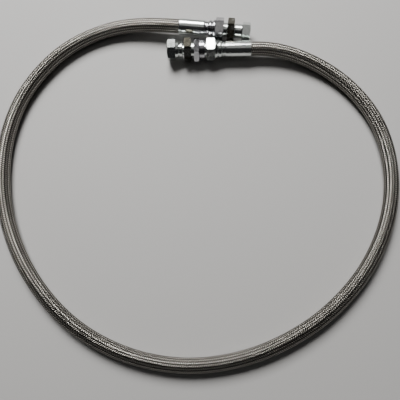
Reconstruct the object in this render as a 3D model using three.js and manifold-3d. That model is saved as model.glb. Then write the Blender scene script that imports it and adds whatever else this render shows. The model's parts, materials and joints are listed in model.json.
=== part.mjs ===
// Braided supply line: a steel-braided half-inch hose laid in an open loop, with an adapter on each end.
// Millimetres, +Z up. The origin is on the floor, under the middle of the end fittings; +X runs along them.
import * as THREE from 'three';
import { mergeVertices } from 'three/addons/utils/BufferGeometryUtils.js';
import Module from 'manifold-3d';

const wasm = await Module();
wasm.setup();

// ---- driving dimensions -----------------------------------------------------------------------------

const GAP = 0.3;                 // left between neighbours that touch
const FACETS = 18;               // sides of every turned piece

const HOSE_RADIUS = 9;           // over the braid
const BRAID_BORE = 7.9;
const LINER_RADIUS = 7.6;
const LINER_BORE = 6.4;
const HOSE_SIDES = 10;
const HOSE_STEPS = 42;
const HOSE_DEPTH = 24;           // hose end, inside its ferrule

const FERRULE_RADIUS = 10.2;
const FERRULE_LENGTH = 34.7;
const FERRULE_BORE = HOSE_RADIUS + GAP;
const LOCK_START = 27.5;         // groove of the tail that the ferrule is crimped into
const LOCK_END = 31.5;
const LOCK_RADIUS = 7.6;

const STEM_RADIUS = 5.8;
const TAIL_BORE = 4.3;
const COLLAR_RADIUS = 9;

const THREAD_RADIUS = 10.4;      // half-inch pipe thread, drawn plain
const THREAD_CHAMBER = 10.75;
const RELIEF_RADIUS = 9.2;

const CONE_SLOPE = Math.tan(THREE.MathUtils.degToRad(12));
const CONE_RADIUS = 7.6;         // sealing cone of a tail, at its base
const CONE_LENGTH = 5.8;

const SEAL_WIRE = 0.55;          // section radius of the O-rings
const LOCK_WIRE = 0.5;           // section radius of the wire rings
const LARGE_HEX = 27;            // across flats
const LARGE_CORNER = LARGE_HEX / Math.sqrt(3);

// Each hexagon's roll: the angle of one corner from straight up, clockwise as seen from the hose's side.
const ROLL = {
  inletSwivelNut: -13, inletAdapter: 0, inletEndNut: -12,
  outletTail: -27, outletSwivelNut: -39, outletAdapter: -14, outletEndNut: -14.5,
};

// Where each ferrule's mouth lies, its fitting's heading (about +Z from +X) and the height of its axis.
const INLET = {
  mouth: [-39.6, 19.5],
  heading: -5.64,
  height: LARGE_CORNER * Math.cos(THREE.MathUtils.degToRad(ROLL.inletAdapter)),
};
const OUTLET = {
  mouth: [55.2, -13.4],
  heading: 180.5,
  height: LARGE_CORNER * Math.cos(THREE.MathUtils.degToRad(ROLL.outletAdapter)),
};

// The hose's centreline, from its end in the inlet ferrule round the loop to its end in the outlet ferrule.
const ROUTE = [
  [-15.7, 17.2, 15.6], [-39.6, 19.5, 15.6], [-52, 20.7, 15.5], [-81, 23, 14], [-121, 21.5, 10.8],
  [-159.5, 10, 9.1], [-193.5, -10.5, 9.1], [-222, -39, 9.1], [-244, -72.5, 9.1], [-258, -110, 9.1],
  [-264.5, -149.5, 9.1], [-264, -189.5, 9.1], [-257, -229, 9.1], [-243.5, -267, 9.1], [-224.5, -302, 9.1],
  [-200, -334, 9.1], [-171, -361.5, 9.1], [-137.5, -383.5, 9.1], [-100.5, -399.5, 9.1], [-61.5, -409, 9.1],
  [-21.5, -412, 9.1], [18, -408, 9.1], [57, -398, 9.1], [94, -382, 9.1], [128, -361.5, 9.1],
  [159, -335.5, 9.1], [185.5, -305.5, 9.1], [206.5, -271, 9.1], [221, -234, 9.1], [228, -194.5, 9.1],
  [226.5, -154.5, 9.1], [216, -115.5, 9.1], [196, -81, 9.1], [168.5, -52, 9.1], [135, -30.5, 10.6],
  [97, -17, 13.6], [68, -13.4, 15.1], [55.2, -13.4, 15.1], [31.2, -13.6, 15.1],
];

// ---- solids -----------------------------------------------------------------------------------------

// A closed mesh as a manifold-3d solid.
function toSolid(geometry) {
  const bare = geometry.clone();
  bare.deleteAttribute('normal');
  bare.deleteAttribute('uv');
  const merged = mergeVertices(bare, 1e-4);
  return new wasm.Manifold(new wasm.Mesh({
    numProp: 3,
    vertProperties: new Float32Array(merged.attributes.position.array),
    triVerts: new Uint32Array(merged.index.array),
  }));
}

// And back, as a geometry for a THREE.Mesh.
function toGeometry(solid) {
  const { vertProperties, triVerts } = solid.getMesh();
  const geometry = new THREE.BufferGeometry();
  geometry.setAttribute('position', new THREE.BufferAttribute(vertProperties, 3));
  geometry.setIndex(new THREE.BufferAttribute(triVerts, 1));
  geometry.computeVertexNormals();
  return geometry;
}

// A ring turned about its own +Y. The outline is [radius, station] pairs, outside first, back along the bore.
function turned(outline) {
  const points = [...outline, outline[0]].map(([radius, station]) => new THREE.Vector2(radius, station));
  return new THREE.LatheGeometry(points, FACETS);
}

// A wire bent to a ring: section radius, ring radius and station.
function wireRing(section, radius, station) {
  const sides = 6;
  const outline = [];
  for (let side = 0; side < sides; side++) {
    const angle = (side / sides) * 2 * Math.PI;
    outline.push([radius + section * Math.cos(angle), station + section * Math.sin(angle)]);
  }
  return turned(outline);
}

// The outline of a hexagon's blank, with the 30 degree chamfers that leave an arc on each flat.
function hexBlank(acrossFlats, start, end) {
  const faceRadius = acrossFlats * 0.48;
  const blankRadius = acrossFlats * 0.595;
  const chamfer = (blankRadius - faceRadius) * Math.tan(THREE.MathUtils.degToRad(30));
  return [
    [faceRadius, start], [blankRadius, start + chamfer], [blankRadius, end - chamfer], [faceRadius, end],
  ];
}

// A turned blank with six flats milled on it. No other part of the blank may stand out past the flats.
function milled(outline, acrossFlats) {
  const stock = 12;
  const reach = 150;
  let solid = toSolid(turned(outline));
  for (let flat = 0; flat < 6; flat++) {
    const cutter = new THREE.BoxGeometry(2 * acrossFlats, reach, stock);
    cutter.translate(0, reach / 2, acrossFlats / 2 + stock / 2);
    cutter.rotateY(((flat + 0.5) / 6) * 2 * Math.PI);
    solid = solid.subtract(toSolid(cutter));
  }
  return toGeometry(solid);
}

// ---- pieces of the fittings, each along its fitting's +Y, station 0 at the ferrule's mouth ----------

function ferruleGeometry() {
  const edge = 0.7;
  const lip = LOCK_RADIUS + GAP;
  return turned([
    [FERRULE_RADIUS - edge, 0], [FERRULE_RADIUS, edge], [FERRULE_RADIUS, FERRULE_LENGTH - edge],
    [FERRULE_RADIUS - edge, FERRULE_LENGTH], [FERRULE_BORE, FERRULE_LENGTH], [FERRULE_BORE, LOCK_END - GAP],
    [lip, LOCK_END - GAP], [lip, LOCK_START + GAP], [FERRULE_BORE, LOCK_START + GAP], [FERRULE_BORE, 0],
  ]);
}

// The part of a tail that both ends share: the stem in the hose, and the collar that the ferrule grips.
function stemOutline(collarEnd) {
  const tip = 0.8;
  const shoulder = HOSE_DEPTH + GAP;
  return [
    [STEM_RADIUS - 0.6, tip], [STEM_RADIUS, tip + 1.2], [STEM_RADIUS, shoulder], [COLLAR_RADIUS, shoulder],
    [COLLAR_RADIUS, LOCK_START], [LOCK_RADIUS, LOCK_START], [LOCK_RADIUS, LOCK_END],
    [COLLAR_RADIUS, LOCK_END], [COLLAR_RADIUS, collarEnd],
  ];
}

// A sealing cone with its O-ring groove, tapering from base to tip, and the bore behind it back to boreEnd.
function coneOutline(cone, bore, boreEnd) {
  const radiusAt = (station) => cone.radius - CONE_SLOPE * (station - cone.base);
  const floor = sealRadius(cone) - SEAL_WIRE - GAP;
  const half = SEAL_WIRE + GAP;
  const before = cone.seal - half;
  const after = cone.seal + half;
  const tip = cone.base + cone.length;
  return [
    [cone.radius, cone.base], [radiusAt(before), before], [floor, before], [floor, after],
    [radiusAt(after), after], [radiusAt(tip), tip], [bore, tip], [bore, boreEnd],
  ];
}

function sealRadius(cone) {
  return cone.radius - CONE_SLOPE * (cone.seal - cone.base) - 0.45;
}

// Half of the channel that a wire ring lies in: outwards in a nut's bore, inwards in a nose.
function wireRadius(noseRadius) {
  return noseRadius + GAP / 2;
}

function noseGroove(noseRadius, station) {
  const floor = wireRadius(noseRadius) - LOCK_WIRE - GAP;
  const half = LOCK_WIRE + GAP;
  return [
    [noseRadius, station - half], [floor, station - half],
    [floor, station + half], [noseRadius, station + half],
  ];
}

function nutGroove(noseRadius, station) {
  const bore = noseRadius + GAP;
  const floor = wireRadius(noseRadius) + LOCK_WIRE + GAP;
  const half = LOCK_WIRE + GAP;
  return [[bore, station + half], [floor, station + half], [floor, station - half], [bore, station - half]];
}

// ---- inlet fitting ----------------------------------------------------------------------------------

const inletCone = { radius: CONE_RADIUS, base: 51.4, length: CONE_LENGTH, seal: 54.3 };
const inletNeck = { radius: 7.2, start: 38.4, end: 47.3 };
const inletNut = { start: 38.8, hexStart: 48.2, end: 58.9 };
const inletAdapter = {
  start: 52, threadEnd: 60.2, hexStart: 64.1, hexEnd: 73.2, noseRadius: 5.9, wire: 79, bore: 3.2,
  cone: { radius: 5.6, base: 84.9, length: 3.8, seal: 86.7 },
};
const inletEndNut = {
  start: 73.7, hexStart: 84, end: 94.7, acrossFlats: 21, chamberStart: 82.6, chamberRadius: 8.2,
  shoulder: [[8.3, 73.7], [8.9, 74.3], [9, 82.6], [9.9, 84]],
};

function inletTailGeometry() {
  const flange = 10.35;
  const flangeEnd = 50.9;
  return turned([
    ...stemOutline(inletNeck.start),
    [inletNeck.radius, inletNeck.start], [inletNeck.radius, inletNeck.end],
    [flange, inletNeck.end], [flange, flangeEnd], [CONE_RADIUS, flangeEnd],
    ...coneOutline(inletCone, TAIL_BORE, 0.8),
  ]);
}

// Two rounded rings, a hexagon, and inside it the thread chamber that closes down on the tail's neck.
function inletSwivelNutGeometry() {
  const bore = inletNeck.radius + GAP;
  const chamberStart = inletNeck.end - GAP;
  return milled([
    [9.4, inletNut.start], [10.5, 39.9], [10.6, 42.4], [9.9, 43.5], [9.9, 44],
    [11.2, 44.8], [11.7, 46.6], [11.7, inletNut.hexStart],
    ...hexBlank(LARGE_HEX, inletNut.hexStart, inletNut.end),
    [THREAD_CHAMBER, inletNut.end], [THREAD_CHAMBER, chamberStart],
    [bore, chamberStart], [bore, inletNut.start],
  ], LARGE_HEX);
}

// ---- outlet fitting ---------------------------------------------------------------------------------

const outletCone = { radius: CONE_RADIUS, base: 65.6, length: CONE_LENGTH, seal: 68.5 };
const outletNeck = { radius: 8.6, start: 58.7, end: 65.2, wire: 62.7 };
const outletNut = { start: 60.9, hexStart: 68.4, end: 75.2, radius: 11.9 };
const outletAdapter = {
  start: 66.2, threadEnd: 76.4, hexStart: 79, hexEnd: 88.1, noseRadius: 6.6, wire: 92.6, bore: 3.8,
  cone: { radius: 6.3, base: 99.6, length: 4.4, seal: 101.7 },
};
const outletEndNut = {
  start: 90.1, hexStart: 99.6, end: 110.7, acrossFlats: 24, chamberStart: 97.6, chamberRadius: 9,
  shoulder: [[8.9, 90.1], [9.5, 90.8], [9.6, 93.8], [9, 94.5], [9, 95], [9.8, 95.7], [10.6, 99.6]],
};

// The collar runs on into two rings, a taper and a fixed hexagon, then the neck that carries the nut.
function outletTailGeometry() {
  const hexStart = 47.9;
  const outline = [
    ...stemOutline(35.5),
    [10, 35.6], [10, 37.8], [9, 38], [9, 38.4], [11, 38.9], [11.2, 42.6], [10.2, 43.1], [10.2, 43.5],
    [11.4, 44.1], [12.4, hexStart],
    ...hexBlank(LARGE_HEX, hexStart, outletNeck.start),
    [outletNeck.radius, outletNeck.start], ...noseGroove(outletNeck.radius, outletNeck.wire),
    [outletNeck.radius, outletNeck.end], [CONE_RADIUS, outletNeck.end],
    ...coneOutline(outletCone, TAIL_BORE, 0.8),
  ];
  return milled(outline, LARGE_HEX);
}

// A plain round shoulder and a thin hexagon.
function outletSwivelNutGeometry() {
  const bore = outletNeck.radius + GAP;
  const chamberStart = outletNeck.end - GAP;
  return milled([
    [outletNut.radius - 0.6, outletNut.start], [outletNut.radius, outletNut.start + 0.6],
    [outletNut.radius, outletNut.hexStart],
    ...hexBlank(LARGE_HEX, outletNut.hexStart, outletNut.end),
    [THREAD_CHAMBER, outletNut.end], [THREAD_CHAMBER, chamberStart], [bore, chamberStart],
    ...nutGroove(outletNeck.radius, outletNeck.wire), [bore, outletNut.start],
  ], LARGE_HEX);
}

// ---- adapters and end nuts, which both fittings have ------------------------------------------------

// Male thread with a cone seat in its mouth, thread relief, hexagon, and a nose that carries the end nut.
function adapterGeometry(adapter, tailCone) {
  const seatGap = 0.35;
  const seatEnd = tailCone.base + tailCone.length + GAP;
  const seatRadius = (station) => tailCone.radius - CONE_SLOPE * (station - tailCone.base) + seatGap;
  return milled([
    [THREAD_RADIUS - 0.9, adapter.start], [THREAD_RADIUS, adapter.start + 0.9],
    [THREAD_RADIUS, adapter.threadEnd],
    [RELIEF_RADIUS, adapter.threadEnd + 0.6], [RELIEF_RADIUS, adapter.hexStart],
    ...hexBlank(LARGE_HEX, adapter.hexStart, adapter.hexEnd),
    [adapter.noseRadius, adapter.hexEnd], ...noseGroove(adapter.noseRadius, adapter.wire),
    [adapter.noseRadius, adapter.cone.base - 0.3],
    ...coneOutline(adapter.cone, adapter.bore, seatEnd),
    [seatRadius(seatEnd), seatEnd], [seatRadius(adapter.start), adapter.start],
  ], LARGE_HEX);
}

function endNutGeometry(nut, adapter) {
  const bore = adapter.noseRadius + GAP;
  return milled([
    ...nut.shoulder,
    ...hexBlank(nut.acrossFlats, nut.hexStart, nut.end),
    [nut.chamberRadius, nut.end], [nut.chamberRadius, nut.chamberStart], [bore, nut.chamberStart],
    ...nutGroove(adapter.noseRadius, adapter.wire), [bore, nut.start],
  ], nut.acrossFlats);
}

// ---- hose -------------------------------------------------------------------------------------------

function ringShape(outer, inner) {
  const corners = (radius) => Array.from({ length: HOSE_SIDES }, (_, corner) => {
    const angle = (corner / HOSE_SIDES) * 2 * Math.PI;
    return new THREE.Vector2(radius * Math.cos(angle), radius * Math.sin(angle));
  });
  const shape = new THREE.Shape(corners(outer));
  shape.holes.push(new THREE.Path(corners(inner)));
  return shape;
}

function hoseGeometry(outer, inner) {
  const path = new THREE.CatmullRomCurve3(ROUTE.map((point) => new THREE.Vector3(...point)));
  return new THREE.ExtrudeGeometry(ringShape(outer, inner), { steps: HOSE_STEPS, extrudePath: path });
}

// ---- assembly ---------------------------------------------------------------------------------------

const FINISH = {
  braid: { color: 0x9a958c, roughness: 0.42, metalness: 1 },
  liner: { color: 0xd8d4c6, roughness: 0.6, metalness: 0 },
  zinc: { color: 0xc6ccca, roughness: 0.24, metalness: 1 },
  dullZinc: { color: 0x8f8e82, roughness: 0.5, metalness: 1 },
  spring: { color: 0xa8a8a8, roughness: 0.3, metalness: 1 },
  rubber: { color: 0x1a1a1a, roughness: 0.8, metalness: 0 },
};

const line = new THREE.Group();

function add(group, name, geometry, finish, roll = 0) {
  const mesh = new THREE.Mesh(geometry, new THREE.MeshStandardMaterial(FINISH[finish]));
  mesh.name = name;
  mesh.rotation.y = THREE.MathUtils.degToRad(roll);
  group.add(mesh);
}

// A group whose +Y is the fitting's axis, from the ferrule's mouth outwards.
function fittingGroup(end) {
  const group = new THREE.Group();
  group.position.set(...end.mouth, end.height);
  group.rotation.z = THREE.MathUtils.degToRad(end.heading - 90);
  line.add(group);
  return group;
}

add(line, 'hose_braid', hoseGeometry(HOSE_RADIUS, BRAID_BORE), 'braid');
add(line, 'hose_liner', hoseGeometry(LINER_RADIUS, LINER_BORE), 'liner');

const inlet = fittingGroup(INLET);
add(inlet, 'inlet_ferrule', ferruleGeometry(), 'zinc');
add(inlet, 'inlet_tail', inletTailGeometry(), 'zinc');
add(inlet, 'inlet_tail_seal', wireRing(SEAL_WIRE, sealRadius(inletCone), inletCone.seal), 'rubber');
add(inlet, 'inlet_swivel_nut', inletSwivelNutGeometry(), 'zinc', ROLL.inletSwivelNut);

const outlet = fittingGroup(OUTLET);
add(outlet, 'outlet_ferrule', ferruleGeometry(), 'zinc');
add(outlet, 'outlet_tail', outletTailGeometry(), 'zinc', ROLL.outletTail);
add(outlet, 'outlet_tail_seal', wireRing(SEAL_WIRE, sealRadius(outletCone), outletCone.seal), 'rubber');
const tailWire = wireRing(LOCK_WIRE, wireRadius(outletNeck.radius), outletNeck.wire);
add(outlet, 'outlet_tail_wire', tailWire, 'spring');
add(outlet, 'outlet_swivel_nut', outletSwivelNutGeometry(), 'zinc', ROLL.outletSwivelNut);

const ends = [
  ['inlet', inlet, inletAdapter, inletCone, inletEndNut, ROLL.inletAdapter, ROLL.inletEndNut],
  ['outlet', outlet, outletAdapter, outletCone, outletEndNut, ROLL.outletAdapter, ROLL.outletEndNut],
];
for (const [end, group, adapter, tailCone, nut, adapterRoll, nutRoll] of ends) {
  const wire = wireRing(LOCK_WIRE, wireRadius(adapter.noseRadius), adapter.wire);
  const seal = wireRing(SEAL_WIRE, sealRadius(adapter.cone), adapter.cone.seal);
  add(group, `${end}_adapter`, adapterGeometry(adapter, tailCone), 'dullZinc', adapterRoll);
  add(group, `${end}_adapter_wire`, wire, 'spring');
  add(group, `${end}_adapter_seal`, seal, 'rubber');
  add(group, `${end}_end_nut`, endNutGeometry(nut, adapter), 'zinc', nutRoll);
}

export default line;
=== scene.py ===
# Braided supply line: a steel-braided hose laid in an open loop, with a crimped ferrule, a swivel nut, a
# screwed adapter and a free end nut on each end. Metres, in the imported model's own frame.
import json
import math

import bpy
import numpy as np
from mathutils import Matrix, Vector


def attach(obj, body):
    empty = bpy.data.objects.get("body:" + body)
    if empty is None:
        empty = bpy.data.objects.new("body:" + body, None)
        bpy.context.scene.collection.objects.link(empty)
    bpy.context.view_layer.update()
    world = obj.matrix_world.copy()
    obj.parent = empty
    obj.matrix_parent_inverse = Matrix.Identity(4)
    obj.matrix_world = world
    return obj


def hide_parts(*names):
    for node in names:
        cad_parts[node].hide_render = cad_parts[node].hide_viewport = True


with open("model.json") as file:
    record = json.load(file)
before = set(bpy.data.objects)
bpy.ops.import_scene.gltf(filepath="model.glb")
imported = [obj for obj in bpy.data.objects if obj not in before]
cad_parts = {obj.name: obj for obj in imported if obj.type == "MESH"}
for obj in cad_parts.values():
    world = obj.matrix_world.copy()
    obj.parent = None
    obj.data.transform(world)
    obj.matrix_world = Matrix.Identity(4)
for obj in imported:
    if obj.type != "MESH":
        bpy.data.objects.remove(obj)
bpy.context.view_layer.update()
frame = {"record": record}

MM = 0.001
TURN = 2 * math.pi
UP = Vector((0, 0, 1))


# ---- camera --------------------------------------------------------------------------------------------

CAMERA_PLACE = (-0.0037, -0.295, 0.5078)
CAMERA_TILT = (9.19, 0.97, 0)    # degrees from straight down
SENSOR_WIDTH = 36                # mm, as is the lens
LENS = 36.19


def make_camera():
    """A camera over the near half of the loop, tilted a little towards the fittings."""
    data = bpy.data.cameras.new("camera")
    data.sensor_width = SENSOR_WIDTH
    data.lens = LENS
    camera = bpy.data.objects.new("camera", data)
    camera.location = CAMERA_PLACE
    camera.rotation_euler = [math.radians(angle) for angle in CAMERA_TILT]
    bpy.context.collection.objects.link(camera)
    bpy.context.scene.camera = camera


make_camera()


# ---- small helpers -------------------------------------------------------------------------------------

def deselect_all():
    if bpy.context.object and bpy.context.object.mode != "OBJECT":
        bpy.ops.object.mode_set(mode="OBJECT")
    bpy.ops.object.select_all(action="DESELECT")


def select_only(*pieces):
    deselect_all()
    for piece in pieces:
        piece.select_set(True)
    bpy.context.view_layer.objects.active = pieces[0]


def apply_modifiers(piece):
    select_only(piece)
    for modifier in list(piece.modifiers):
        bpy.ops.object.modifier_apply(modifier=modifier.name)


def remove_piece(piece):
    bpy.data.objects.remove(piece, do_unlink=True)


def smooth(piece, degrees):
    """Smooth across gentle edges, with the large faces left truly flat between their rounded edges."""
    select_only(piece)
    bpy.ops.object.shade_smooth_by_angle(angle=math.radians(degrees))
    weighted = piece.modifiers.new("flat_faces", "WEIGHTED_NORMAL")
    weighted.keep_sharp = True
    apply_modifiers(piece)


# ---- shader groups -------------------------------------------------------------------------------------

class Nodes:
    """Adds nodes to a tree and joins them up."""

    def __init__(self, tree):
        self.tree = tree

    def add(self, kind, settings=None, **inputs):
        node = self.tree.nodes.new(kind)
        for name, value in (settings or {}).items():
            setattr(node, name, value)
        for name, value in inputs.items():
            self.put(node.inputs[name.replace("_", " ")], value)
        return node

    def put(self, socket, value):
        if isinstance(value, bpy.types.NodeSocket):
            self.tree.links.new(value, socket)
        else:
            socket.default_value = value

    def math(self, operation, *values):
        node = self.tree.nodes.new("ShaderNodeMath")
        node.operation = operation
        for socket, value in zip(node.inputs, values):
            self.put(socket, value)
        return node.outputs[0]

    def mix(self, factor, first, second):
        node = self.tree.nodes.new("ShaderNodeMix")
        node.data_type = "RGBA"
        self.put(node.inputs[0], factor)
        self.put(node.inputs[6], first)
        self.put(node.inputs[7], second)
        return node.outputs[2]

    def spread(self, value, low, high, to_low=0.0, to_high=1.0):
        """The value's range from low to high, laid over to_low to to_high and held at its ends."""
        node = self.tree.nodes.new("ShaderNodeMapRange")
        for socket, number in zip(node.inputs, (value, low, high, to_low, to_high)):
            self.put(socket, number)
        return node.outputs[0]

    def noise(self, vector, scale, detail=3.0, roughness=0.55):
        node = self.add("ShaderNodeTexNoise", Vector=vector, Scale=scale, Detail=detail, Roughness=roughness)
        return node.outputs["Fac"]


def new_group(name, inputs, outputs):
    """A shader group; inputs are (name, kind, value), and outputs (name, kind)."""
    tree = bpy.data.node_groups.new(name, "ShaderNodeTree")
    for label, kind, value in inputs:
        socket = tree.interface.new_socket(label, in_out="INPUT", socket_type="NodeSocket" + kind)
        socket.default_value = value
    for label, kind in outputs:
        tree.interface.new_socket(label, in_out="OUTPUT", socket_type="NodeSocket" + kind)
    nodes = Nodes(tree)
    return tree, nodes, nodes.add("NodeGroupInput"), nodes.add("NodeGroupOutput")


FINISH_OUTPUTS = [("Color", "Color"), ("Roughness", "Float"), ("Height", "Float")]
BARE_METAL = (0.86, 0.87, 0.86, 1)


def make_plating_group():
    """Zinc plate: cloudy patches, dirt in the hollows, bright worn edges, and turning marks."""
    tree, n, given, result = new_group("plating", [
        ("Clean", "Color", (0.7, 0.72, 0.7, 1)),
        ("Cloud", "Color", (0.5, 0.52, 0.5, 1)),
        ("Dirt", "Color", (0.05, 0.045, 0.04, 1)),
        ("Dirt amount", "Float", 0.3),
        ("Roughness", "Float", 0.2),
        ("Turning", "Float", 0.5),
    ], FINISH_OUTPUTS)
    dirt_amount, turning = given.outputs["Dirt amount"], given.outputs["Turning"]
    place = n.add("ShaderNodeTexCoord").outputs["Object"]
    turned = n.add("ShaderNodeAttribute", {"attribute_name": "lathe"}).outputs["Vector"]
    curve = n.add("ShaderNodeNewGeometry").outputs["Pointiness"]

    cloud = n.spread(n.noise(place, 140.0, 4.0), 0.35, 0.7)          # patches about 7 mm across
    stain = n.spread(n.noise(place, 260.0, 5.0, 0.65), 0.42, 0.7)    # about 4 mm
    speck = n.spread(n.noise(place, 900.0, 3.0, 0.7), 0.56, 0.72)    # about 1 mm
    pits = n.math("MULTIPLY", n.noise(place, 1500.0, 2.0), 0.35)     # about 0.7 mm
    rings = n.noise(turned, 2600.0, 2.0)                             # about 0.4 mm from ring to ring
    hollow = n.spread(curve, 0.5, 0.44)
    edge = n.spread(curve, 0.62, 0.75)

    grime = n.math("MULTIPLY", stain, n.math("ADD", 0.45, n.math("MULTIPLY", hollow, 1.6)))
    grime = n.math("MINIMUM", n.math("MULTIPLY", grime, dirt_amount), 1.0)
    color = n.mix(n.math("MULTIPLY", cloud, 0.6), given.outputs["Clean"], given.outputs["Cloud"])
    color = n.mix(n.math("MULTIPLY", edge, 0.3), color, BARE_METAL)
    color = n.mix(grime, color, given.outputs["Dirt"])
    specks = n.math("MULTIPLY", speck, n.math("MULTIPLY", dirt_amount, 0.6))
    color = n.mix(specks, color, given.outputs["Dirt"])

    ring_gloss = n.math("MULTIPLY", n.spread(rings, 0.3, 0.7, -0.04, 0.04), turning)
    rough = n.math("ADD", given.outputs["Roughness"], n.math("MULTIPLY", cloud, 0.08))
    rough = n.math("ADD", rough, n.math("MULTIPLY", grime, 0.35))
    rough = n.math("ADD", rough, ring_gloss)
    height = n.math("ADD", n.math("MULTIPLY", rings, turning), pits)
    n.put(result.inputs["Color"], color)
    n.put(result.inputs["Roughness"], rough)
    n.put(result.inputs["Height"], height)
    return tree


def make_wire_group():
    """A flat strand of fine wires, with a painted highlight on its crowns and painted shade in the gaps and
    dips.

    The strand's own UV runs across it from 0 to 1 and along it in mm, and its rise attribute runs from -1
    where it dips under the others to 1 where it lies over them.
    """
    tree, n, given, result = new_group("wires", [
        ("Wires", "Float", 8.0),
        # Bright is the colour of the painted highlight on the crowns; the colour after Dull is the painted
        # shade.
        ("Bright", "Color", (0.95, 0.91, 0.835, 1)),
        ("Dull", "Color", (0.04, 0.036, 0.03, 1)),
        ("Painted shade", "Color", (0.012, 0.01, 0.008, 1)),
    ], FINISH_OUTPUTS)
    strand_uv = n.add("ShaderNodeUVMap", {"uv_map": "strand"})
    strand = n.add("ShaderNodeSeparateXYZ", Vector=strand_uv.outputs["UV"])
    across, along = strand.outputs["X"], strand.outputs["Y"]
    count = n.math("MULTIPLY", across, given.outputs["Wires"])
    wire = n.math("FLOOR", count)
    within = n.math("SUBTRACT", n.math("MULTIPLY", n.math("FRACT", count), 2.0), 1.0)
    roundness = n.math("SUBTRACT", 1.0, n.math("MULTIPLY", within, within))
    crown = n.math("SQRT", n.math("MAXIMUM", roundness, 0.0))
    # Each wire reads a stretch of noise of its own, which changes about every 3 mm along it.
    spot = n.add("ShaderNodeCombineXYZ", X=n.math("MULTIPLY", wire, 7.31), Y=n.math("MULTIPLY", along, 0.35))
    tone = n.noise(spot.outputs["Vector"], 1.0, 3.0)
    place = n.add("ShaderNodeTexCoord").outputs["Object"]
    grime = n.spread(n.noise(place, 60.0, 4.0, 0.6), 0.45, 0.75)
    rise = n.add("ShaderNodeAttribute", {"attribute_name": "rise"}).outputs["Fac"]
    edge = n.math("ABSOLUTE", n.math("SUBTRACT", across, 0.5))
    # Painted highlight: the middle of each crown, where the strand lies over others, takes Bright and the
    # rest Dull; wire tone and grime dim it a little.
    crown_highlight = n.math("MULTIPLY", n.spread(rise, 0.3, 1.0), n.spread(edge, 0.48, 0.12, 0.05, 1.0))
    crown_highlight = n.math("MULTIPLY", crown_highlight, n.spread(tone, 0.3, 0.7, 1.0, 0.7))
    crown_highlight = n.math("MULTIPLY", crown_highlight, n.spread(grime, 0.0, 1.0, 1.0, 0.75))
    color = n.mix(crown_highlight, given.outputs["Dull"], given.outputs["Bright"])
    # Painted shade, with some dirt, where the strand dips under the others.
    color = n.mix(n.spread(rise, 0.2, -0.5, 0.0, 0.95), color, given.outputs["Painted shade"])
    # Painted shade in the narrow gaps between neighbouring wires.
    color = n.mix(n.spread(crown, 0.55, 0.1), color, given.outputs["Painted shade"])
    n.put(result.inputs["Color"], color)
    n.put(result.inputs["Roughness"], n.spread(n.math("ADD", tone, grime), 0.4, 1.4, 0.3, 0.44))
    n.put(result.inputs["Height"], crown)
    return tree


def make_moulded_group():
    """Moulded rubber: a fine skin texture, and dust that has settled in patches."""
    tree, n, given, result = new_group("moulded", [
        ("Body", "Color", (0.02, 0.02, 0.02, 1)),
        ("Dust", "Color", (0.2, 0.19, 0.17, 1)),
        ("Dust amount", "Float", 0.3),
        ("Roughness", "Float", 0.6),
    ], FINISH_OUTPUTS)
    place = n.add("ShaderNodeTexCoord").outputs["Object"]
    patches = n.spread(n.noise(place, 220.0, 5.0, 0.6), 0.45, 0.75)
    dust = n.math("MULTIPLY", patches, given.outputs["Dust amount"])
    rough = n.math("ADD", given.outputs["Roughness"], n.math("MULTIPLY", dust, 0.2))
    n.put(result.inputs["Color"], n.mix(dust, given.outputs["Body"], given.outputs["Dust"]))
    n.put(result.inputs["Roughness"], rough)
    n.put(result.inputs["Height"], n.noise(place, 2200.0, 3.0))
    return tree


def new_material(name, group, metallic, bump, values):
    """A material round one shader group with its own values; its bump is so many metres deep."""
    material = bpy.data.materials.new(name)
    material.use_nodes = True
    n = Nodes(material.node_tree)
    shader = material.node_tree.nodes["Principled BSDF"]
    effect = n.add("ShaderNodeGroup", {"node_tree": group})
    for label, value in values.items():
        effect.inputs[label].default_value = value
    relief = n.add("ShaderNodeBump", Strength=1.0, Distance=bump, Height=effect.outputs["Height"])
    n.put(shader.inputs["Base Color"], effect.outputs["Color"])
    n.put(shader.inputs["Roughness"], effect.outputs["Roughness"])
    n.put(shader.inputs["Normal"], relief.outputs["Normal"])
    shader.inputs["Metallic"].default_value = metallic
    return material


PLATING = make_plating_group()
WIRES = make_wire_group()
MOULDED = make_moulded_group()

BRIGHT_ZINC = new_material("bright_zinc_plate", PLATING, 1.0, 7e-6, {
    "Clean": (0.72, 0.75, 0.73, 1), "Cloud": (0.52, 0.56, 0.55, 1), "Dirt": (0.05, 0.045, 0.04, 1),
    "Dirt amount": 0.3, "Roughness": 0.15, "Turning": 0.5})
WORN_ZINC = new_material("worn_zinc_plate", PLATING, 1.0, 7e-6, {
    "Clean": (0.46, 0.46, 0.48, 1), "Cloud": (0.3, 0.3, 0.32, 1), "Dirt": (0.05, 0.045, 0.04, 1),
    "Dirt amount": 0.5, "Roughness": 0.12, "Turning": 0.5})
STAINED_ZINC = new_material("stained_zinc_plate", PLATING, 0.9, 1e-5, {
    "Clean": (0.1, 0.095, 0.075, 1), "Cloud": (0.06, 0.056, 0.043, 1), "Dirt": (0.045, 0.04, 0.03, 1),
    "Dirt amount": 0.7, "Roughness": 0.16, "Turning": 0.6})
SPRING_WIRE = new_material("spring_wire", PLATING, 1.0, 1e-5, {
    "Clean": (0.5, 0.5, 0.5, 1), "Cloud": (0.35, 0.35, 0.35, 1), "Dirt": (0.05, 0.04, 0.03, 1),
    "Dirt amount": 0.4, "Roughness": 0.3, "Turning": 0.3})
BRAID_STEEL = new_material("braid_steel", WIRES, 1.0, 12e-5, {})
SEAL_RUBBER = new_material("seal_rubber", MOULDED, 0.0, 1e-5, {"Dust amount": 0.2})
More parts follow.
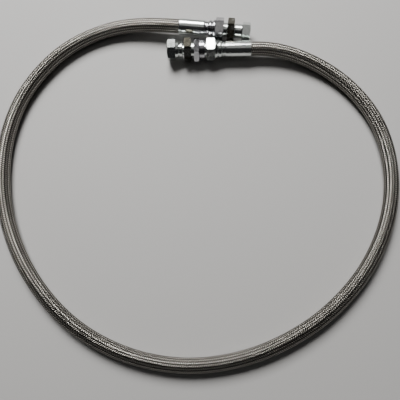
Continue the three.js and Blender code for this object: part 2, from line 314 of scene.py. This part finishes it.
LINER_TUBE = new_material("liner_tube", MOULDED, 0.0, 3e-5, {
    "Body": (0.035, 0.03, 0.026, 1), "Dust": (0.12, 0.1, 0.08, 1), "Roughness": 0.75})


# ---- hose ----------------------------------------------------------------------------------------------

CORE_RADIUS = 7.8 * MM
CORE_BORE = 6.4 * MM
CORE_SIDES = 32
CORE_STEP = 6 * MM

CARRIERS = 16                    # strands each way round
OVER = 2                         # a strand goes over this many, then under as many
BRAID_LEAD = 40.8 * MM           # length in which a strand goes once round
STRAND_WIDTH = 1.72 * MM
STRAND_THICK = 0.42 * MM
STRAND_RADIUS = 8.44 * MM        # where a strand's middle lies, half way between over and under
STRAND_SWING = 0.33 * MM         # how far it rises over its neighbours and dips under them
# A strand's section: its corners, in half widths across it and half thicknesses outwards.
STRAND_SECTION = np.array([(-1, -0.3), (-0.5, 1), (0.5, 1), (1, -0.3), (0.5, -1), (-0.5, -1)])
STRANDS_PER_PIECE = 4
HOSE_IN_FERRULE = 24 * MM
BRAID_IN_FERRULE = 6 * MM        # its ends stop just inside the ferrules, where they are hidden
WEAVE_SHIFT = 50.0               # mm of wire pattern from one strand to the next

# The centreline, from its end in the inlet ferrule round the loop to its end in the outlet ferrule.
ROUTE = np.array([
    (-0.0157, 0.0172, 0.0156), (-0.0396, 0.0195, 0.0156), (-0.052, 0.0207, 0.0155),
    (-0.081, 0.023, 0.014), (-0.121, 0.0215, 0.0108), (-0.1595, 0.01, 0.0091),
    (-0.1935, -0.0105, 0.0091), (-0.222, -0.039, 0.0091), (-0.244, -0.0725, 0.0091),
    (-0.258, -0.11, 0.0091), (-0.2645, -0.1495, 0.0091), (-0.264, -0.1895, 0.0091),
    (-0.257, -0.229, 0.0091), (-0.2435, -0.267, 0.0091), (-0.2245, -0.302, 0.0091),
    (-0.2, -0.334, 0.0091), (-0.171, -0.3615, 0.0091), (-0.1375, -0.3835, 0.0091),
    (-0.1005, -0.3995, 0.0091), (-0.0615, -0.409, 0.0091), (-0.0215, -0.412, 0.0091),
    (0.018, -0.408, 0.0091), (0.057, -0.398, 0.0091), (0.094, -0.382, 0.0091),
    (0.128, -0.3615, 0.0091), (0.159, -0.3355, 0.0091), (0.1855, -0.3055, 0.0091),
    (0.2065, -0.271, 0.0091), (0.221, -0.234, 0.0091), (0.228, -0.1945, 0.0091),
    (0.2265, -0.1545, 0.0091), (0.216, -0.1155, 0.0091), (0.196, -0.081, 0.0091),
    (0.1685, -0.052, 0.0091), (0.135, -0.0305, 0.0106), (0.097, -0.017, 0.0136),
    (0.068, -0.0134, 0.0151), (0.0552, -0.0134, 0.0151), (0.0312, -0.0136, 0.0151),
])


class Centreline:
    """A natural cubic spline through the route's points, measured by the length along it."""

    FINE = 24000                 # points that the line is measured with

    def __init__(self, points):
        chord = np.linalg.norm(np.diff(points, axis=0), axis=1)
        knots = np.concatenate([[0], np.cumsum(chord)])
        size = len(points)
        system = np.eye(size)
        slopes = np.diff(points, axis=0) / chord[:, None]
        bends = np.zeros((size, 3))
        for i in range(1, size - 1):
            system[i, i - 1:i + 2] = chord[i - 1], 2 * (chord[i - 1] + chord[i]), chord[i]
            bends[i] = 6 * (slopes[i] - slopes[i - 1])
        curvature = np.linalg.solve(system, bends)
        where = np.linspace(0, knots[-1], self.FINE)
        span = np.clip(np.searchsorted(knots, where, side="right") - 1, 0, size - 2)
        width = chord[span][:, None]
        low = (where - knots[span])[:, None]
        high = width - low
        self.fine = (
            (curvature[span] * high ** 3 + curvature[span + 1] * low ** 3) / (6 * width)
            + (points[span] / width - curvature[span] * width / 6) * high
            + (points[span + 1] / width - curvature[span + 1] * width / 6) * low
        )
        # Where the hose lies on the floor, the curve doesn't dip between its points.
        self.fine[:, 2] = np.maximum(self.fine[:, 2], points[:, 2].min())
        steps = np.linalg.norm(np.diff(self.fine, axis=0), axis=1)
        self.along = np.concatenate([[0], np.cumsum(steps)])
        self.length = float(self.along[-1])

    def at(self, lengths):
        """Points, and the level and upward directions square to the line there."""
        def point(where):
            return np.stack([np.interp(where, self.along, self.fine[:, k]) for k in range(3)], axis=1)
        small = 0.5 * MM
        ahead = point(np.minimum(lengths + small, self.length)) - point(np.maximum(lengths - small, 0))
        ahead /= np.linalg.norm(ahead, axis=1)[:, None]
        side = np.cross(ahead, UP)
        side /= np.linalg.norm(side, axis=1)[:, None]
        return point(lengths), side, np.cross(side, ahead)


def mesh_piece(name, verts, faces, material, uv=None, rise=None):
    """A piece from arrays of points and of four-sided faces, smooth all over."""
    mesh = bpy.data.meshes.new(name)
    mesh.vertices.add(len(verts))
    mesh.vertices.foreach_set("co", verts.astype(np.float32).ravel())
    mesh.loops.add(faces.size)
    mesh.loops.foreach_set("vertex_index", faces.astype(np.int32).ravel())
    mesh.polygons.add(len(faces))
    mesh.polygons.foreach_set("loop_start", np.arange(0, faces.size, 4, dtype=np.int32))
    mesh.polygons.foreach_set("use_smooth", np.ones(len(faces), dtype=bool))
    if uv is not None:
        mesh.uv_layers.new(name="strand").data.foreach_set("uv", uv.astype(np.float32).ravel())
        mesh.attributes.new("rise", "FLOAT", "POINT").data.foreach_set("value", rise.astype(np.float32))
    mesh.materials.append(material)
    mesh.update(calc_edges=True)
    mesh.validate()
    piece = bpy.data.objects.new(name, mesh)
    bpy.context.collection.objects.link(piece)
    return piece


def ring_faces(rings, sides):
    """Four-sided faces between rings of points, closed round each ring."""
    ring, side = np.meshgrid(np.arange(rings - 1), np.arange(sides), indexing="ij")
    after = (side + 1) % sides
    here, there = ring * sides, (ring + 1) * sides
    corners = [here + side, there + side, there + after, here + after]
    return np.stack(corners, axis=-1).reshape(-1, 4)


def make_core(line):
    """The tube under the braid, with its bore open at both ends."""
    lengths = np.linspace(0, line.length, int(line.length / CORE_STEP))
    points, side, up = line.at(lengths)
    angle = np.arange(CORE_SIDES) / CORE_SIDES * TURN
    ring = np.cos(angle)[None, :, None] * side[:, None, :] + np.sin(angle)[None, :, None] * up[:, None, :]
    outer = points[:, None, :] + CORE_RADIUS * ring
    inner = points[:, None, :] + CORE_BORE * ring
    walls = np.concatenate([outer, inner[::-1], outer[:1]], axis=0)
    verts = walls[:-1].reshape(-1, 3)
    faces = ring_faces(len(walls), CORE_SIDES) % len(verts)
    piece = mesh_piece("hose_core", verts, faces[:, ::-1], LINER_TUBE)
    return piece, points


def strand_points(line, lengths, direction, number):
    """Rings of one strand's section, how far across it each corner is, and how high each ring rides."""
    points, side, up = line.at(lengths)
    # Where two strands cross, both have the same count, give or take whole waves, and their waves have
    # opposite signs, so one is over where the other is under.
    crossing = direction * lengths / (BRAID_LEAD / (2 * CARRIERS)) + 2 * number - (OVER - 1) / 2
    wave = direction * np.cos(math.pi * crossing / OVER)
    radius = STRAND_RADIUS + STRAND_SWING * wave
    angle = direction * TURN * lengths / BRAID_LEAD + TURN * number / CARRIERS
    out = np.cos(angle)[:, None] * side + np.sin(angle)[:, None] * up
    middle = points + radius[:, None] * out
    ahead = np.gradient(points + STRAND_RADIUS * out, axis=0)
    ahead /= np.linalg.norm(ahead, axis=1)[:, None]
    across = np.cross(out, ahead)
    half, thick = STRAND_WIDTH / 2, STRAND_THICK / 2
    drop = half ** 2 / (2 * STRAND_RADIUS)       # the edges follow the round hose down by so much
    rings = np.stack([
        middle + x * half * across + (y * thick - x * x * drop) * out for x, y in STRAND_SECTION
    ], axis=1)
    return rings, (STRAND_SECTION[:, 0] + 1) / 2, wave


def make_braid(line):
    """Every strand as a flat ribbon that goes over two and under two of those that wind the other way."""
    step = BRAID_LEAD / (4 * CARRIERS)       # two rings for each strand that it crosses
    start = HOSE_IN_FERRULE - BRAID_IN_FERRULE
    lengths = np.arange(math.ceil(start / step), int((line.length - start) / step)) * step
    pieces = []
    for direction, word in ((1, "right"), (-1, "left")):
        for first in range(0, CARRIERS, STRANDS_PER_PIECE):
            verts, faces, uvs, rises = [], [], [], []
            for number in range(first, first + STRANDS_PER_PIECE):
                rings, across, wave = strand_points(line, lengths, direction, number)
                sides = rings.shape[1]
                quads = ring_faces(len(lengths), sides)
                along = lengths[quads // sides] / MM
                wide = across[quads % sides]
                faces.append(quads + len(verts) * rings.shape[0] * sides)
                uvs.append(np.stack([wide, along + WEAVE_SHIFT * number], axis=-1))
                verts.append(rings.reshape(-1, 3))
                rises.append(np.repeat(wave, sides))
            name = f"braid_{word}_{first // STRANDS_PER_PIECE + 1}"
            arrays = [np.concatenate(part) for part in (verts, faces, uvs, rises)]
            pieces.append(mesh_piece(name, arrays[0], arrays[1], BRAID_STEEL, arrays[2], arrays[3]))
    return pieces


def make_hose():
    line = Centreline(ROUTE)
    core, path = make_core(line)
    strands = make_braid(line)
    for piece in [core] + strands:
        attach(piece, "root")
    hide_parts("hose_liner")
    for piece in strands:
        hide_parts("hose_braid")


make_hose()


# ---- turned and milled pieces --------------------------------------------------------------------------

# An outline is a closed row of corners (radius, station, rounding), in mm. Stations run along the fitting's
# own axis, from the ferrule's mouth outwards, and a corner with no rounding stays sharp.

TURNED_STEPS = 72
FINE_STEPS = 96                  # for the ferrules, and the blanks that hexagons are cut from
ROUND_STEPS = 3                  # chords in a rounded corner
SIDE_SHARE = 0.45                # of each side that a rounding may take
MERGE_DISTANCE = 0.002 * MM
BLANK_RADIUS = 0.595             # of the width across flats: a little past the hexagon's corners
CHAMFER_DEPTH = 0.115            # of the width across flats
CHAMFER_SLOPE = math.tan(math.radians(30))
BAR_LENGTH = 0.4                 # metres: longer than any blank
BROKEN_EDGE = 0.28               # mm
SHARP_ANGLE = 42                 # degrees, past which an edge is broken


def rounded(outline):
    """The outline's corners, each rounding made an arc of a few chords."""
    corners = [Vector(corner[:2]) for corner in outline]
    points = []
    for i, corner in enumerate(corners):
        size = outline[i][2] if len(outline[i]) > 2 else 0.0
        before, after = corners[i - 1] - corner, corners[(i + 1) % len(corners)] - corner
        if not size:
            points.append(corner)
            continue
        reach = min(size, before.length * SIDE_SHARE, after.length * SIDE_SHARE)
        start, end = corner + before.normalized() * reach, corner + after.normalized() * reach
        for k in range(ROUND_STEPS + 1):
            t = k / ROUND_STEPS
            points.append(start * (1 - t) ** 2 + corner * 2 * t * (1 - t) + end * t * t)
    return points


def drawn(name, points):
    """A closed outline in the XZ plane: one point is extruded from corner to corner, in mm, and back."""
    deselect_all()
    bpy.ops.mesh.primitive_plane_add(size=MM, location=(0, 0, 0))
    piece = bpy.context.object
    piece.name = piece.data.name = name
    bpy.ops.object.mode_set(mode="EDIT")
    bpy.ops.mesh.merge(type="CENTER")
    bpy.ops.transform.translate(value=(points[0].x * MM, 0, points[0].y * MM))
    for here, there in zip(points, points[1:] + points[:1]):
        step = (there - here) * MM
        bpy.ops.mesh.extrude_vertices_move(TRANSFORM_OT_translate={"value": (step.x, 0, step.y)})
    bpy.ops.mesh.select_all(action="SELECT")
    bpy.ops.mesh.remove_doubles(threshold=MERGE_DISTANCE)
    bpy.ops.object.mode_set(mode="OBJECT")
    return piece


def turned(name, outline, steps=TURNED_STEPS):
    """A ring about +Z: its closed outline is spun a full turn."""
    piece = drawn(name, rounded(outline))
    bpy.ops.object.mode_set(mode="EDIT")
    bpy.ops.mesh.select_all(action="SELECT")
    bpy.ops.mesh.spin(steps=steps, angle=TURN, center=(0, 0, 0), axis=(0, 0, 1))
    bpy.ops.mesh.select_all(action="SELECT")
    bpy.ops.mesh.remove_doubles(threshold=MERGE_DISTANCE)
    bpy.ops.mesh.normals_make_consistent(inside=False)
    bpy.ops.object.mode_set(mode="OBJECT")
    return piece


def hexagon_blank(across_flats, start, end, inner=0.6, outer=0.6):
    """The blank's outline over a hexagon: a chamfer at each end, which leaves an arc on each flat."""
    blank = across_flats * BLANK_RADIUS
    depth = across_flats * CHAMFER_DEPTH
    return [
        (blank - depth * inner, start, 0.2), (blank, start + depth * inner * CHAMFER_SLOPE),
        (blank, end - depth * outer * CHAMFER_SLOPE), (blank - depth * outer, end, 0.2),
    ]


def mill(piece, across_flats):
    """Six flats: the blank is cut down to a long six-sided bar, and its sharp edges are broken."""
    deselect_all()
    corner_radius = across_flats / math.sqrt(3) * MM
    bpy.ops.mesh.primitive_cylinder_add(vertices=6, radius=corner_radius, depth=BAR_LENGTH)
    bar = bpy.context.object
    cut = piece.modifiers.new("flats", "BOOLEAN")
    cut.operation = "INTERSECT"
    cut.solver = "EXACT"
    cut.object = bar
    bevel = piece.modifiers.new("edges", "BEVEL")
    bevel.width = BROKEN_EDGE * MM
    bevel.segments = 2
    bevel.limit_method = "ANGLE"
    bevel.angle_limit = math.radians(SHARP_ANGLE)
    bevel.use_clamp_overlap = True
    apply_modifiers(piece)
    remove_piece(bar)


THREAD_STEPS = 48
THREAD_SINK = 0.12               # mm that a ridge's foot lies inside the metal
RIDGE_FOOT, RIDGE_CREST = 0.42, 0.09         # half its width at foot and crest, in pitches


def screw_thread(root, crest, start, end, pitch, phase=0.0):
    """A right-hand ridge from root to crest radius: a section drawn once and screwed along the axis."""
    wide, narrow = RIDGE_FOOT * pitch, RIDGE_CREST * pitch
    sink = math.copysign(THREAD_SINK, crest - root)
    turns = int((end - start) / pitch - 1)
    spare = (end - start - turns * pitch) / 2
    base = start + spare + phase * pitch
    section = [(root - sink, -wide), (crest, -narrow), (crest, narrow), (root - sink, wide)]
    ridge = drawn("thread", [Vector((radius, base + rise)) for radius, rise in section])
    screw = ridge.modifiers.new("screw", "SCREW")
    screw.angle = TURN
    screw.screw_offset = pitch * MM
    screw.iterations = turns
    screw.steps = screw.render_steps = THREAD_STEPS
    apply_modifiers(ridge)
    select_only(ridge)
    bpy.ops.object.mode_set(mode="EDIT")
    bpy.ops.mesh.select_all(action="DESELECT")
    bpy.ops.mesh.select_non_manifold()
    bpy.ops.mesh.fill_holes(sides=4)
    bpy.ops.mesh.select_all(action="SELECT")
    bpy.ops.mesh.normals_make_consistent(inside=False)
    bpy.ops.object.mode_set(mode="OBJECT")
    return ridge


def keep_lathe_places(piece):
    """Each point's station and radius, kept for the turning marks after the piece is put in its place."""
    places = piece.data.attributes.new("lathe", "FLOAT_VECTOR", "POINT")
    values = [(v.co.z, math.hypot(v.co.x, v.co.y), 0) for v in piece.data.vertices]
    places.data.foreach_set("vector", np.array(values, dtype=np.float32).ravel())


# ---- the two fittings ----------------------------------------------------------------------------------

# Sizes in this part are in mm, as the outlines are.
LARGE_HEXAGON = 27               # across flats
SMALL_NUT_HEXAGON = 21
LARGE_NUT_HEXAGON = 24

PIPE_PITCH = 1.8143              # a turn of a swivel nut on its adapter
NUT_ROOT, NUT_CREST = 10.75, 9.75            # radii of that thread, in the nut and on the adapter
MALE_ROOT, MALE_CREST = 9.35, 10.4
END_PITCH = 1.5                  # a turn of the thread inside an end nut
END_RIDGE = 0.85                 # how far that thread stands in from the socket's wall
# Where on the thread's turn each male ridge starts, so that it runs between the ridges of its nut.
MALE_PHASE = {"inlet": -0.134, "outlet": -0.024}

CONE_SLOPE = math.tan(math.radians(12))      # 24 degrees from side to side
GROOVE_HALF, GROOVE_DEPTH = 0.85, 1.3        # half width and depth of an O-ring's groove
WIRE_HALF = 0.8                  # half width of a spring wire's groove, in the nose and in its nut
WIRE_IN_NOSE, WIRE_IN_NUT = 0.65, 0.5        # that groove's depths


def joint_named(name):
    return next(joint for joint in frame["record"]["behaviour"]["joints"] if joint["name"] == name)


class Fitting:
    """One end of the hose: its pieces are made about +Z, with +Y up, and put on the fitting's own axis."""

    def __init__(self, end, nut_station):
        self.end = end
        turn = joint_named(f"{end}_nut_turn")
        self.ahead = -Vector(turn["axis"]).normalized()
        self.mouth = Vector(turn["pos_m"]) - self.ahead * nut_station * MM
        side = UP.cross(self.ahead)
        self.place = Matrix.Translation(self.mouth) @ Matrix((side, UP, self.ahead)).transposed().to_4x4()

    def put(self, piece, roll=0.0):
        """Moves the piece from +Z to the fitting's axis, turned by roll degrees about it."""
        keep_lathe_places(piece)
        piece.data.transform(self.place @ Matrix.Rotation(math.radians(roll), 4, "Z"))
        piece.data.update()

    def cut_thread(self, piece, *thread, **options):
        """Adds a screw thread to a piece that is in its place."""
        ridge = screw_thread(*thread, **options)
        self.put(ridge)
        select_only(piece, ridge)
        bpy.ops.object.join()

    def finish(self, piece, node, body, slot, material, angle=35):
        """The finished piece stands for its node of the same name."""
        piece.name = piece.data.name = node + "_shape"
        piece.data.materials.clear()
        piece.data.materials.append(material)
        smooth(piece, angle)
        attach(piece, body)
        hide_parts(node)


FERRULE_LENGTH = 34.7
FERRULE = [
    (9.75, 0, 0.2), (10.2, 0.5, 0.4), (10.2, FERRULE_LENGTH - 1.6, 0.8), (9.7, FERRULE_LENGTH - 0.35, 0.3),
    (9.45, FERRULE_LENGTH, 0.1), (9.3, FERRULE_LENGTH), (9.3, 31.2), (7.9, 31.2), (7.9, 27.8), (9.3, 27.8),
    (9.3, 1.2, 0.5), (9.5, 0, 0.1),
]
CRIMP_START, CRIMP_END = 3.0, 30.6
CRIMP_FADE = 1.5                 # length in which the flats run out at each end
CRIMP_DEPTH = 0.05
CRIMP_JAWS = 8
CRIMP_RINGS = (3.2, 4.7, 29.0, 30.5)         # stations that are cut in, so that the flats can run out
OUTER_SKIN = 9.9                 # only what lies outside this radius is pressed


def crimp(piece):
    """The press's jaws leave shallow flats round the middle of the sleeve, with faint ridges between."""
    for vertex in piece.data.vertices:
        station, radius = vertex.co.z / MM, math.hypot(vertex.co.x, vertex.co.y)
        if radius < OUTER_SKIN * MM or not CRIMP_START < station < CRIMP_END:
            continue
        fade = min(1.0, (station - CRIMP_START) / CRIMP_FADE, (CRIMP_END - station) / CRIMP_FADE)
        angle = math.atan2(vertex.co.y, vertex.co.x) * CRIMP_JAWS / TURN
        ridge = abs(angle - math.floor(angle) - 0.5) * 2
        factor = 1 - CRIMP_DEPTH * MM * fade * (1 - ridge ** 4) / radius
        vertex.co.x *= factor
        vertex.co.y *= factor


def make_ferrule(fitting):
    piece = turned("ferrule", FERRULE, steps=FINE_STEPS)
    select_only(piece)
    bpy.ops.object.mode_set(mode="EDIT")
    for station in CRIMP_RINGS:
        bpy.ops.mesh.select_all(action="SELECT")
        bpy.ops.mesh.bisect(plane_co=(0, 0, station * MM), plane_no=(0, 0, 1))
    bpy.ops.object.mode_set(mode="OBJECT")
    crimp(piece)
    fitting.put(piece)
    fitting.finish(piece, f"{fitting.end}_ferrule", "root", "bright_zinc", BRIGHT_ZINC, angle=50)


# The tail's part inside the hose and the ferrule, which is the same at both ends.
STEM = [
    (4.3, 0.8, 0.2), (5.0, 0.8, 0.3), (5.8, 2.4, 0.3), (5.8, 24.3), (9.0, 24.3, 0.2), (9.0, 27.5),
    (7.6, 27.5), (7.6, 31.5), (9.0, 31.5),
]


def cone(base_radius, base, length, seal, bore):
    """A 24 degree cone with its O-ring groove, and back into the bore."""
    def radius(station):
        return base_radius - CONE_SLOPE * (station - base)
    end, before, after = base + length, seal - GROOVE_HALF, seal + GROOVE_HALF
    floor = radius(seal) - GROOVE_DEPTH
    return [
        (base_radius, base, 0.1), (radius(before), before, 0.1), (floor, before), (floor, after),
        (radius(after), after, 0.1), (radius(end), end, 0.3), (bore, end, 0.3),
    ]


def milled(outline, across_flats):
    """A turned blank with its hexagon cut."""
    piece = turned("blank", outline, steps=FINE_STEPS)
    mill(piece, across_flats)
    return piece


def make_inlet_tail(fitting):
    piece = turned("tail", STEM + [
        (9.0, 36.0, 0.3), (8.3, 36.4, 0.2), (8.3, 36.9, 0.2), (9.0, 37.3, 0.3), (9.0, 38.4, 0.3),
        (7.2, 38.4, 0.1), (7.2, 47.3, 0.1), (10.35, 47.3, 0.3), (10.35, 50.9, 0.4), (7.6, 50.9),
    ] + cone(7.6, 51.4, 5.8, 54.3, 4.3))
    fitting.put(piece)
    fitting.finish(piece, "inlet_tail", "root", "bright_zinc", WORN_ZINC)


def make_outlet_tail(fitting, roll):
    piece = milled(STEM + [
        (9.0, 35.4, 0.1), (9.9, 35.6, 0.3), (10.0, 37.6, 0.4), (9.1, 38.1, 0.2), (9.1, 38.5, 0.2),
        (11.0, 39.0, 0.6), (11.2, 42.4, 0.6), (10.2, 43.2, 0.3), (10.2, 43.6, 0.3), (11.5, 44.3, 0.5),
        (12.3, 47.0, 0.5), (11.6, 47.9, 0.3),
    ] + hexagon_blank(LARGE_HEXAGON, 47.9, 58.7) + [
        (8.6, 58.7, 0.2), (8.6, 61.9), (7.95, 61.9), (7.95, 63.5), (8.6, 63.5), (8.6, 65.2, 0.2),
        (7.6, 65.2),
    ] + cone(7.6, 65.6, 5.8, 68.5, 4.3), LARGE_HEXAGON)
    fitting.put(piece, roll)
    fitting.finish(piece, "outlet_tail", "root", "bright_zinc", BRIGHT_ZINC)


def make_inlet_swivel_nut(fitting, roll):
    piece = milled([
        (7.5, 38.8, 0.2), (9.2, 38.8, 0.5), (10.6, 40.4, 1.0), (10.6, 42.6, 0.8), (9.5, 43.9, 0.4),
        (9.5, 44.4, 0.3), (11.4, 45.2, 0.8), (11.7, 47.2, 0.6), (11.0, 48.2, 0.3),
    ] + hexagon_blank(LARGE_HEXAGON, 48.2, 58.9) + [
        (10.9, 58.9, 0.2), (10.55, 58.3), (NUT_ROOT, 47.0), (7.5, 47.0),
    ], LARGE_HEXAGON)
    fitting.put(piece, roll)
    fitting.cut_thread(piece, NUT_ROOT, NUT_CREST, 51.5, 58.8, PIPE_PITCH)
    fitting.finish(piece, "inlet_swivel_nut", "inlet_swivel_nut", "bright_zinc", WORN_ZINC)


def make_outlet_swivel_nut(fitting, roll):
    piece = milled([
        (8.9, 60.9, 0.2), (11.5, 60.9, 0.4), (11.9, 61.6, 0.4), (11.9, 67.8, 0.3), (11.5, 68.3, 0.2),
    ] + hexagon_blank(LARGE_HEXAGON, 68.4, 75.2) + [
        (10.9, 75.2, 0.2), (10.55, 74.6), (NUT_ROOT, 64.9), (8.9, 64.9), (8.9, 63.5), (9.5, 63.5),
        (9.5, 61.9), (8.9, 61.9),
    ], LARGE_HEXAGON)
    fitting.put(piece, roll)
    fitting.cut_thread(piece, NUT_ROOT, NUT_CREST, 66.0, 75.1, PIPE_PITCH)
    fitting.finish(piece, "outlet_swivel_nut", "outlet_swivel_nut", "bright_zinc", WORN_ZINC)


SEAT_DEPTH = 6.1                 # of the cone's seat in an adapter's mouth
SEAT_CLEARANCE = 0.35


def make_adapter(fitting, roll, start, thread_end, hex_start, hex_end, nose, wire, nose_cone, tail_cone):
    """Male thread with the cone's seat in its mouth, relief, hexagon, and the nose for the end nut."""
    seat_radius, seat_base = tail_cone
    seat_end = seat_base + SEAT_DEPTH
    nose_end, bore = nose_cone[1], nose_cone[-1]
    groove = nose - WIRE_IN_NOSE

    def seat(station):
        return seat_radius - CONE_SLOPE * (station - seat_base) + SEAT_CLEARANCE
    piece = milled([
        (seat(start), start, 0.2), (8.9, start, 0.2), (MALE_ROOT, start + 0.6), (MALE_ROOT, thread_end),
        (9.2, thread_end + 0.6), (9.2, hex_start - 0.3, 0.3), (10.5, hex_start, 0.2),
    ] + hexagon_blank(LARGE_HEXAGON, hex_start, hex_end) + [
        (nose, hex_end, 0.2), (nose, wire - WIRE_HALF), (groove, wire - WIRE_HALF),
        (groove, wire + WIRE_HALF), (nose, wire + WIRE_HALF), (nose, nose_end - 0.3, 0.1),
    ] + cone(*nose_cone) + [(bore, seat_end), (seat(seat_end), seat_end)], LARGE_HEXAGON)
    fitting.put(piece, roll)
    fitting.cut_thread(piece, MALE_ROOT, MALE_CREST, start, thread_end + 0.4, PIPE_PITCH,
                       phase=MALE_PHASE[fitting.end])
    body = f"{fitting.end}_adapter"
    fitting.finish(piece, body, body, "dull_zinc", STAINED_ZINC)

    # Only the hexagon is stained: its thread and nose are bright.
    piece.data.materials.append(BRIGHT_ZINC)
    inside_hexagon = fitting.mouth + fitting.ahead * (hex_start + hex_end) / 2 * MM
    for face in piece.data.polygons:
        station = abs((face.center - inside_hexagon).dot(fitting.ahead))
        face.material_index = int(station > (hex_end - hex_start) / 2 * MM)


def make_end_nut(fitting, roll, across_flats, shoulder, hex_start, end, chamber, chamber_start, bore, wire):
    """Round shoulder, hexagon and a threaded socket at its open end."""
    groove = bore + WIRE_IN_NUT
    piece = milled(shoulder + hexagon_blank(across_flats, hex_start, end, inner=0.35, outer=1.2) + [
        (chamber + 0.35, end, 0.2), (chamber - 0.3, end - 0.7), (chamber, end - 1.0),
        (chamber, chamber_start), (bore, chamber_start), (bore, wire + WIRE_HALF),
        (groove, wire + WIRE_HALF), (groove, wire - WIRE_HALF), (bore, wire - WIRE_HALF),
        (bore, shoulder[0][1], 0.2),
    ], across_flats)
    fitting.put(piece, roll)
    fitting.cut_thread(piece, chamber, chamber - END_RIDGE, chamber_start + 3.0, end - 0.6, END_PITCH)
    body = f"{fitting.end}_end_nut"
    fitting.finish(piece, body, body, "bright_zinc", BRIGHT_ZINC)


RING_SIDES = 14
SEAL_SECTION = 0.55              # radius of an O-ring's section
SEAL_FLASH = 0.05                # how far the mould's line stands out round it
WIRE_SECTION = 0.5               # radius of a spring wire's section


def make_ring(fitting, node, body, slot, material, section, radius, station, flash=0.0):
    """A ring with a round section, and a thin line outside it where flash is more than nothing."""
    outline = []
    for k in range(RING_SIDES):
        angle = k / RING_SIDES * TURN
        reach = section + (flash if k == 0 else 0)
        outline.append((radius + reach * math.cos(angle), station + reach * math.sin(angle)))
    piece = turned("ring", outline)
    fitting.put(piece)
    fitting.finish(piece, node, body, slot, material, angle=60)


def make_seal(fitting, node, body, radius, station):
    make_ring(fitting, node, body, "seal_rubber", SEAL_RUBBER, SEAL_SECTION, radius, station, SEAL_FLASH)


def make_spring_wire(fitting, node, body, radius, station):
    make_ring(fitting, node, body, "spring_wire", SPRING_WIRE, WIRE_SECTION, radius, station)


def make_inlet():
    inlet = Fitting("inlet", nut_station=53.5)
    make_ferrule(inlet)
    make_inlet_tail(inlet)
    make_inlet_swivel_nut(inlet, roll=-13)
    make_adapter(inlet, roll=0, start=52, thread_end=60.2, hex_start=64.1, hex_end=73.2, nose=5.9,
                 wire=79, nose_cone=(5.6, 84.9, 3.8, 86.7, 3.2), tail_cone=(7.6, 51.4))
    shoulder = [(8.2, 73.7, 0.4), (8.9, 74.5, 0.5), (9.0, 82.6, 0.5), (9.9, 84.0, 0.2)]
    make_end_nut(inlet, roll=-12, across_flats=SMALL_NUT_HEXAGON, shoulder=shoulder, hex_start=84,
                 end=94.7, chamber=8.7, chamber_start=82.6, bore=6.2, wire=79)
    make_seal(inlet, "inlet_tail_seal", "root", 6.53, 54.3)
    make_seal(inlet, "inlet_adapter_seal", "inlet_adapter", 4.77, 86.7)
    make_spring_wire(inlet, "inlet_adapter_wire", "inlet_adapter", 6.05, 79)


def make_outlet():
    outlet = Fitting("outlet", nut_station=68)
    make_ferrule(outlet)
    make_outlet_tail(outlet, roll=-27)
    make_outlet_swivel_nut(outlet, roll=-39)
    make_adapter(outlet, roll=-14, start=66.2, thread_end=76.4, hex_start=79, hex_end=88.1, nose=6.6,
                 wire=92.6, nose_cone=(6.3, 99.6, 4.4, 101.7, 3.8), tail_cone=(7.6, 65.6))
    shoulder = [
        (8.7, 90.1, 0.3), (9.5, 90.6, 0.4), (9.7, 93.6, 0.5), (8.9, 94.4, 0.3), (8.9, 95.0, 0.3),
        (9.9, 95.8, 0.5), (10.6, 99.6, 0.3),
    ]
    make_end_nut(outlet, roll=-14.5, across_flats=LARGE_NUT_HEXAGON, shoulder=shoulder, hex_start=99.6,
                 end=110.7, chamber=9.5, chamber_start=97.6, bore=6.9, wire=92.6)
    make_seal(outlet, "outlet_tail_seal", "root", 6.53, 68.5)
    make_spring_wire(outlet, "outlet_tail_wire", "root", 8.75, 62.7)
    make_seal(outlet, "outlet_adapter_seal", "outlet_adapter", 5.4, 101.7)
    make_spring_wire(outlet, "outlet_adapter_wire", "outlet_adapter", 6.75, 92.6)


make_inlet()
make_outlet()


# ---- floor and light -----------------------------------------------------------------------------------

FLOOR_SIZE = 6
FLOOR_COLOR = (0.41, 0.406, 0.4, 1)
FLOOR_ROUGHNESS = 0.7
ROOM_COLOR = (0.75, 0.75, 0.78, 1)
ROOM_STRENGTH = 0.025


def make_floor():
    deselect_all()
    bpy.ops.mesh.primitive_plane_add(size=FLOOR_SIZE, location=(0, -0.2, 0))
    floor = bpy.context.object
    floor.name = "floor"
    material = bpy.data.materials.new("floor")
    material.use_nodes = True
    shader = material.node_tree.nodes["Principled BSDF"]
    shader.inputs["Base Color"].default_value = FLOOR_COLOR
    shader.inputs["Roughness"].default_value = FLOOR_ROUGHNESS
    floor.data.materials.append(material)


def make_panel(name, place, aim, size, power, color):
    """A soft rectangular light at its place, turned to face its aim."""
    data = bpy.data.lights.new(name, "AREA")
    data.shape = "RECTANGLE"
    data.size, data.size_y = size
    data.energy = power
    data.color = color
    light = bpy.data.objects.new(name, data)
    light.location = place
    light.rotation_euler = (Vector(aim) - Vector(place)).to_track_quat("-Z", "Y").to_euler()
    bpy.context.collection.objects.link(light)


def make_light():
    """A strong panel high on the far side, weak ones low on that side and overhead, and a dim room."""
    make_panel("high_panel", place=(-0.4, 1.2, 1.58), aim=(0, -0.15, 0), size=(1.1, 0.95), power=92,
               color=(1.0, 0.99, 0.975))
    make_panel("low_panel", place=(0, 1.7, 0.75), aim=(0, -0.1, 0), size=(2.6, 1.0), power=3.4,
               color=(1.0, 0.99, 0.97))
    make_panel("overhead_panel", place=(0, -0.1, 1.9), aim=(0, -0.15, 0), size=(1.4, 0.8), power=1.2,
               color=(1.0, 0.98, 0.95))
    world = bpy.data.worlds.new("room")
    world.use_nodes = True
    background = world.node_tree.nodes["Background"]
    background.inputs["Color"].default_value = ROOM_COLOR
    background.inputs["Strength"].default_value = ROOM_STRENGTH
    bpy.context.scene.world = world


make_floor()
make_light()
